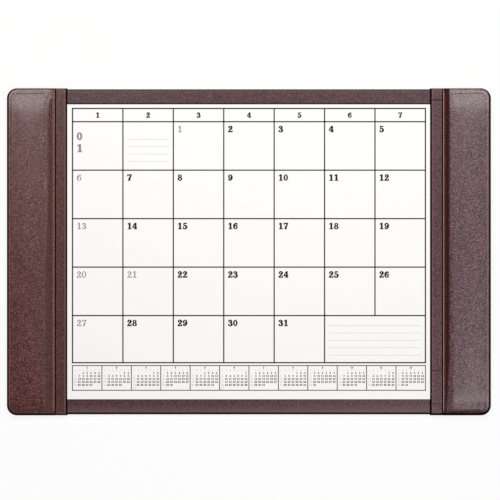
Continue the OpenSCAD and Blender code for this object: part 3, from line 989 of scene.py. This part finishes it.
# plain numerals with slab feet in a box one high: rings, bars, dots, and strokes with a width at each point
numeralShapes = {
    "0": [("ring", 0.325, 0.5, 0.315, 0.5, 0.08, 0.34)],
    "1": [("bar", 0.23, 0.0, 0.5, 1.0), ("bar", 0.1, 0.0, 0.63, 0.15),
          ("stroke", (0.08, 0.75, 0.11), (0.18, 0.82, 0.16), (0.32, 0.92, 0.19))],
    "2": [("stroke", (0.14, 0.72, 0.161), (0.15, 0.83, 0.161), (0.26, 0.925, 0.172), (0.40, 0.92, 0.207),
           (0.50, 0.81, 0.287), (0.49, 0.65, 0.299), (0.38, 0.47, 0.241), (0.24, 0.3, 0.196),
           (0.10, 0.13, 0.172)),
          ("dot", 0.165, 0.70, 0.125), ("bar", 0.02, 0.0, 0.66, 0.2), ("bar", 0.52, 0.0, 0.66, 0.34)],
    "3": [("stroke", (0.13, 0.76, 0.149), (0.16, 0.87, 0.161), (0.28, 0.93, 0.161), (0.43, 0.88, 0.23),
           (0.48, 0.75, 0.287), (0.42, 0.61, 0.23), (0.25, 0.545, 0.161)),
          ("stroke", (0.25, 0.545, 0.161), (0.42, 0.5, 0.196), (0.53, 0.37, 0.299), (0.52, 0.22, 0.299),
           (0.42, 0.09, 0.218), (0.27, 0.065, 0.161), (0.14, 0.11, 0.161), (0.10, 0.22, 0.138)),
          ("dot", 0.155, 0.75, 0.12), ("dot", 0.135, 0.25, 0.125)],
    "4": [("stroke", (0.42, 0.95, 0.184), (0.24, 0.63, 0.172), (0.08, 0.32, 0.172)),
          ("bar", 0.01, 0.23, 0.68, 0.4), ("bar", 0.35, 0.0, 0.6, 1.0), ("bar", 0.22, 0.0, 0.69, 0.14)],
    "5": [("bar", 0.11, 0.8, 0.6, 1.0), ("bar", 0.11, 0.46, 0.25, 0.98),
          ("stroke", (0.16, 0.52, 0.161), (0.27, 0.6, 0.172), (0.41, 0.57, 0.218), (0.52, 0.45, 0.287),
           (0.53, 0.28, 0.299), (0.44, 0.12, 0.23), (0.28, 0.065, 0.161), (0.14, 0.11, 0.161),
           (0.10, 0.22, 0.138)),
          ("dot", 0.14, 0.24, 0.125)],
    "6": [("ring", 0.345, 0.33, 0.315, 0.33, 0.085, 0.18), ("dot", 0.54, 0.78, 0.12),
          ("stroke", (0.16, 0.3, 0.287), (0.155, 0.5, 0.299), (0.20, 0.71, 0.287), (0.33, 0.87, 0.207),
           (0.46, 0.92, 0.161), (0.55, 0.86, 0.138))],
    "7": [("bar", 0.03, 0.79, 0.66, 1.0), ("bar", 0.03, 0.66, 0.16, 0.98),
          ("stroke", (0.58, 0.86, 0.184), (0.49, 0.68, 0.207), (0.38, 0.45, 0.265), (0.32, 0.22, 0.299),
           (0.31, 0.0, 0.322))],
    "8": [("ring", 0.34, 0.735, 0.28, 0.265, 0.07, 0.13), ("ring", 0.34, 0.28, 0.335, 0.285, 0.09, 0.14)],
}
numeralWide = 0.68


def smoothLine(knots, count):  # a curve through the knots, each with its width
    line = []
    for k in range(len(knots) - 1):
        a, b = Vector(knots[max(k - 1, 0)]), Vector(knots[k])
        c, d = Vector(knots[k + 1]), Vector(knots[min(k + 2, len(knots) - 1)])
        for i in range(count):
            t = i / count
            line.append(b + (c - a) * t / 2 + (a * 2 - b * 5 + c * 4 - d) * t * t / 2
                        + (b * 3 - a - c * 3 + d) * t ** 3 / 2)
    return line + [Vector(knots[-1])]


def prism(outline, top):  # a flat closed solid from a convex outline
    count = len(outline)
    spots = [(x, y, z) for z in (0.0, top) for x, y in outline]
    faces = [tuple(reversed(range(count))), tuple(range(count, 2 * count))]
    faces += [(k, (k + 1) % count, count + (k + 1) % count, count + k) for k in range(count)]
    return spots, faces


def loopAround(cx, cy, rx, ry, count):
    return [(cx + rx * math.cos(math.tau * k / count), cy + ry * math.sin(math.tau * k / count))
            for k in range(count)]


def ringSolid(cx, cy, rx, ry, holeX, holeY, count, top):
    outer, inner = loopAround(cx, cy, rx, ry, count), loopAround(cx, cy, holeX, holeY, count)
    spots = [(x, y, z) for z in (0.0, top) for x, y in outer + inner]
    faces = []
    for k in range(count):
        n, up = (k + 1) % count, 2 * count
        faces += [(up + k, up + n, up + count + n, up + count + k), (count + k, count + n, n, k),
                  (k, n, up + n, up + k), (count + n, count + k, up + count + k, up + count + n)]
    return spots, faces


def strokeSolid(knots, count, top):
    line = smoothLine(knots, count)
    spots = []
    for k, point in enumerate(line):
        ahead = (line[min(k + 1, len(line) - 1)] - line[max(k - 1, 0)]).to_2d().normalized()
        sideways = Vector((-ahead.y, ahead.x)) * point.z / 2
        left, right = point.to_2d() + sideways, point.to_2d() - sideways
        spots += [(left.x, left.y, top), (right.x, right.y, top)]
        spots += [(right.x, right.y, 0.0), (left.x, left.y, 0.0)]
    faces = [(3, 2, 1, 0), tuple(4 * (len(line) - 1) + k for k in range(4))]
    for k in range(len(line) - 1):
        a, b = 4 * k, 4 * k + 4
        faces += [(a + i, a + (i + 1) % 4, b + (i + 1) % 4, b + i) for i in range(4)]
    return spots, faces


def numeralSolid(digit, fine, weight):
    shapes = numeralShapes["6" if digit == "9" else digit]
    spots, faces = [], []
    for order, (kind, *sizes) in enumerate(shapes):
        top = 1 + 0.12 * order  # so that no two inked faces share a level
        if kind == "ring":
            cx, cy, rx, ry, holeX, holeY = sizes
            holeX, holeY = rx - weight * (rx - holeX), ry - weight * (ry - holeY)
            part = ringSolid(cx, cy, rx, ry, holeX, holeY, 8 * fine, top)
        elif kind == "dot":
            cx, cy, radius = sizes
            part = prism(loopAround(cx, cy, weight * radius, weight * radius, 5 * fine), top)
        elif kind == "bar":
            x0, y0, x1, y1 = sizes
            slim = (1 - weight) / 2 * min(x1 - x0, y1 - y0)  # taken off both long sides
            inX, inY = (slim, 0.0) if x1 - x0 < y1 - y0 else (0.0, slim)
            x0, y0, x1, y1 = x0 + inX, y0 + inY, x1 - inX, y1 - inY
            part = prism([(x0, y0), (x1, y0), (x1, y1), (x0, y1)], top)
        else:
            part = strokeSolid([(x, y, weight * wide) for x, y, wide in sizes], fine, top)
        faces += [tuple(len(spots) + k for k in face) for face in part[1]]
        spots += part[0]
    if digit == "9":  # the six, turned half round
        spots = [(numeralWide - x, 1 - y, z) for x, y, z in spots]
    return spots, faces


numeralStore = {}


def numeralOf(digit, fine, weight):
    if (digit, fine, weight) not in numeralStore:
        numeralStore[digit, fine, weight] = numeralSolid(digit, fine, weight)
    return numeralStore[digit, fine, weight]


class PrintLayer:
    def __init__(self):
        self.points, self.faces = [], []

    def add(self, spots, polygons):
        start = len(self.points)
        self.points += spots
        self.faces += [tuple(start + k for k in polygon) for polygon in polygons]

    def bar(self, x0, y0, x1, y1):
        spots, polygons = prism([(x0, y0), (x1, y0), (x1, y1), (x0, y1)], page["inkRise"])
        self.add([(x, y, sheetTop + z) for x, y, z in spots], polygons)

    def lineX(self, x0, x1, y, wide):
        self.bar(x0, y - wide / 2, x1, y + wide / 2)

    def lineY(self, x, y0, y1, wide):
        self.bar(x - wide / 2, y0, x + wide / 2, y1)

    def number(self, text, x, y, tall, fine=3, centred=False, space=0.03, weight=1.0):
        wide = (numeralWide * len(text) + space * (len(text) - 1)) * tall * page["stretch"]
        x = x - wide / 2 if centred else x
        for digit in text:
            spots, polygons = numeralOf(digit, fine, weight)
            self.add([(x + a * tall * page["stretch"], y + b * tall, sheetTop + c * page["inkRise"])
                      for a, b, c in spots], polygons)
            x += (numeralWide + space) * tall * page["stretch"]


def printPage():
    rules, black, grey, pale = PrintLayer(), PrintLayer(), PrintLayer(), PrintLayer()
    cellWide = (page["right"] - page["left"]) / page["columns"]
    cellTall = page["weekTall"]
    ruleLeft, ruleRight = page["left"] - page["ruleWide"] / 2, page["right"] + page["ruleWide"] / 2
    for k in range(page["columns"] + 1):
        outer = k in (0, page["columns"])
        lastWeek = page["header"] - (page["weeks"] - 1) * cellTall
        lowEnd = lastWeek if k == page["columns"] - 1 else page["bottom"]  # the last notes take two cells
        wide = page["ruleWide" if outer else "thinRule"]
        rules.lineY(page["left"] + k * cellWide, lowEnd, page["top"], wide)
    for k in range(page["weeks"]):
        rules.lineX(ruleLeft, ruleRight, page["header"] - k * cellTall, page["thinRule"])
    for y in (page["top"], page["bottom"]):
        rules.lineX(ruleLeft, ruleRight, y, page["ruleWide"])
    headBase = (page["top"] + page["header"] - page["headTall"]) / 2
    for k in range(page["columns"]):
        middle = page["left"] + (k + 0.5) * cellWide
        black.number(str(k + 1), middle, headBase, page["headTall"], centred=True)
    for day in range(1, monthDays[0] + 1):
        place = day - 1 + page["firstWeekday"]
        column, week = place % page["columns"], place // page["columns"]
        x = page["left"] + column * cellWide + page["dayLeft"]
        y = page["header"] - week * cellTall - page["dayDown"] - page["dayTall"]
        layer = grey if column == 0 or day in page["paleDays"] else black
        layer.number(str(day), x, y, page["dayTall"], weight=page["paleWeight"] if layer is grey else 1.0)
    for k, digit in enumerate("01"):
        y = page["header"] - page["monthDown"] - (k + 1) * page["monthTall"] - k * page["monthGap"]
        grey.number(digit, page["left"] + page["monthLeft"], y, page["monthTall"], centred=True)
    for first, last, week, down, lines in page["notes"]:
        x0 = page["left"] + first * cellWide + page["noteMargin"]
        x1 = page["left"] + last * cellWide - page["noteMargin"]
        for k in range(lines):
            y = page["header"] - week * cellTall - down - k * page["noteStep"]
            pale.lineX(x0, x1, y, page["noteRule"])
    monthWide = (page["right"] - page["left"]) / page["months"]
    for k in range(page["months"] + 1):
        rules.lineY(page["left"] + k * monthWide, page["yearBottom"], page["yearTop"], page["yearRule"])
    for y in (page["yearTop"], page["yearBottom"]):
        rules.lineX(ruleLeft, ruleRight, y, page["yearRule"])
    weekday = page["firstWeekday"]
    for month, days in enumerate(monthDays):
        left = page["left"] + month * monthWide
        firstRow = page["yearTop"] - page["smallDown"]
        headBase = page["yearTop"] - page["smallHeadDown"]
        black.number(str(month + 1), left + monthWide / 2, headBase, page["smallHead"], 2, True)
        for column in range(page["columns"]):
            pale.number(str(column + 1), left + page["smallLeft"] + column * page["smallStep"],
                        firstRow + page["smallRow"], page["smallWeekTall"], 1, True)
        for day in range(1, days + 1):
            place = day - 1 + weekday
            column, week = place % page["columns"], place // page["columns"]
            layer = pale if column == 0 else black
            layer.number(str(day), left + page["smallLeft"] + column * page["smallStep"],
                         firstRow - week * page["smallRow"], page["smallTall"], 1, True)
        weekday = (weekday + days) % page["columns"]
    for name, layer, ink in (("printedRules", rules, "ruleInk"), ("printedNumbers", black, "blackInk"),
                             ("paleNumbers", grey, "greyInk"), ("noteLines", pale, "paleInk")):
        mesh = bpy.data.meshes.new(name)
        mesh.from_pydata([Vector(p) * mm for p in layer.points], [], layer.faces)
        mesh.materials.append(plain[ink])
        piece = bpy.data.objects.new(name, mesh)
        bpy.context.scene.collection.objects.link(piece)
        carry(piece, "calendar", "paper")
        print(name, len(mesh.polygons), "faces")


printPage()


# the tape that binds the sheets, folded a little over the top sheet

tapeShape = {"over": 0.35, "rise": 0.14, "clear": 0.02, "bevel": 0.1}


def tapePiece():
    shape = tapeShape
    low, high = boxInMm("calendar_binding")
    top, under = sheetTop + shape["rise"], sheetTop + shape["clear"]
    front, edge = low.y - shape["over"], shape["bevel"]
    outline = [(high.y, low.z), (high.y, top - edge), (high.y - edge, top), (front + edge, top),
               (front, under), (low.y, under), (low.y, low.z)]
    count = len(outline)
    points = [(x, y, z) for x in (low.x, high.x) for y, z in outline]
    faces = [list(range(count)), list(range(count, 2 * count))]
    faces += [(k, (k + 1) % count, count + (k + 1) % count, count + k) for k in range(count)]
    piece = makePiece("bindingTape", points, faces, plain["boundEdge"])
    piece.data.shade_flat()
    return piece


carry(tapePiece(), "calendar", "binding", "calendar_binding")


# finishes of the pieces that stay as the frame has them

nodeFinishes = {"face_cover": faceLeather, "base_board": plain["hardboard"],
                "calendar_backer": plain["greyCard"]}
for nodeName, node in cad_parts.items():
    finish = plain["calendarPaper"] if nodeName.endswith("_sheet") else nodeFinishes.get(nodeName)
    if finish:
        node.data.materials.clear()
        node.data.materials.append(finish)
print("finishes set")


# stage, lights and camera

stageLook = {
    "size": 14.0,
    "drop": 0.02,  # mm under the felt
    "floor": (0.90, 0.90, 0.90, 1),
    "floorRough": 0.9,
    "whiteShare": 0.86,
    "room": (1.0, 0.985, 0.97, 1),
    "roomStrength": 0.22,
}
reach = stageLook["size"] / 2
corners = [(-reach, -reach), (reach, -reach), (reach, reach), (-reach, reach)]
floorMesh = bpy.data.meshes.new("floor")
floorMesh.from_pydata([(x, y, -stageLook["drop"] * mm) for x, y in corners], [], [(0, 1, 2, 3)])
floor = bpy.data.objects.new("floor", floorMesh)
bpy.context.scene.collection.objects.link(floor)
floorMaterial, tree, shader, coords = newMaterial("paleFloor")
shader.inputs["Base Color"].default_value = stageLook["floor"]
shader.inputs["Roughness"].default_value = stageLook["floorRough"]
path = addNode(tree, "ShaderNodeLightPath").outputs
seen = calculate(tree, "MAXIMUM", path["Is Camera Ray"], path["Is Glossy Ray"])
seen = calculate(tree, "MAXIMUM", seen, path["Is Transmission Ray"])
share = calculate(tree, "MULTIPLY", seen, stageLook["whiteShare"])
glow = addNode(tree, "ShaderNodeEmission", {"Color": (1, 1, 1, 1), "Strength": 1.0})
white = addNode(tree, "ShaderNodeMixShader", {0: share, 1: shader.outputs[0], 2: glow.outputs[0]})
clear = addNode(tree, "ShaderNodeBsdfTransparent")
behind = addNode(tree, "ShaderNodeNewGeometry").outputs["Backfacing"]
either = addNode(tree, "ShaderNodeMixShader", {0: behind, 1: white.outputs[0], 2: clear.outputs[0]})
tree.links.new(either.outputs[0], tree.nodes["Material Output"].inputs["Surface"])
floorMesh.materials.append(floorMaterial)

world = bpy.data.worlds.new("softRoom")
world.use_nodes = True
background = world.node_tree.nodes["Background"].inputs
background["Color"].default_value = stageLook["room"]
background["Strength"].default_value = stageLook["roomStrength"]
bpy.context.scene.world = world

lampLooks = {
    "backLeftLamp": {"place": (-0.50, 0.95, 1.75), "aim": (-0.1, 0.05, 0), "size": (0.55, 0.40),
                     "power": 12.0, "colour": (1.0, 0.985, 0.97)},
    "backRightLamp": {"place": (0.52, 0.95, 1.75), "aim": (0.1, 0.05, 0), "size": (0.55, 0.40),
                      "power": 12.4, "colour": (1.0, 0.985, 0.97)},
    "leftLamp": {"place": (-0.52, 0.50, 2.1), "aim": (-0.15, 0.05, 0), "size": (0.45, 0.4),
                 "power": 4.5, "colour": (1.0, 0.98, 0.97)},
    "rightLamp": {"place": (0.54, 0.46, 2.1), "aim": (0.15, 0.05, 0), "size": (0.45, 0.4),
                  "power": 3.6, "colour": (1.0, 0.985, 0.98)},
    "frontLamp": {"place": (0.58, -0.70, 2.15), "aim": (0.12, -0.10, 0), "size": (0.8, 0.45),
                  "power": 12.3, "colour": (0.96, 0.98, 1.0)},
}
for name, look in lampLooks.items():
    lamp = bpy.data.lights.new(name, "AREA")
    lamp.shape = "RECTANGLE"
    lamp.size, lamp.size_y = look["size"]
    lamp.energy = look["power"]
    lamp.color = look["colour"]
    holder = bpy.data.objects.new(name, lamp)
    holder.location = look["place"]
    holder.rotation_euler = (Vector(look["aim"]) - holder.location).to_track_quat("-Z", "Y").to_euler()
    bpy.context.scene.collection.objects.link(holder)

cameraLook = {"centre": (1.45, 2.48), "frameWide": 669.5, "height": 2.6, "level": 9.0, "sensor": 36.0}
cameraData = bpy.data.cameras.new("camera")
cameraData.sensor_width = cameraLook["sensor"]
distance = cameraLook["height"] / mm - cameraLook["level"]
cameraData.lens = cameraLook["sensor"] * distance / cameraLook["frameWide"]
camera = bpy.data.objects.new("camera", cameraData)
camera.location = (cameraLook["centre"][0] * mm, cameraLook["centre"][1] * mm, cameraLook["height"])
bpy.context.scene.collection.objects.link(camera)
bpy.context.scene.camera = camera
bpy.context.scene.view_settings.view_transform = "Standard"
print("stage, lights and camera set")
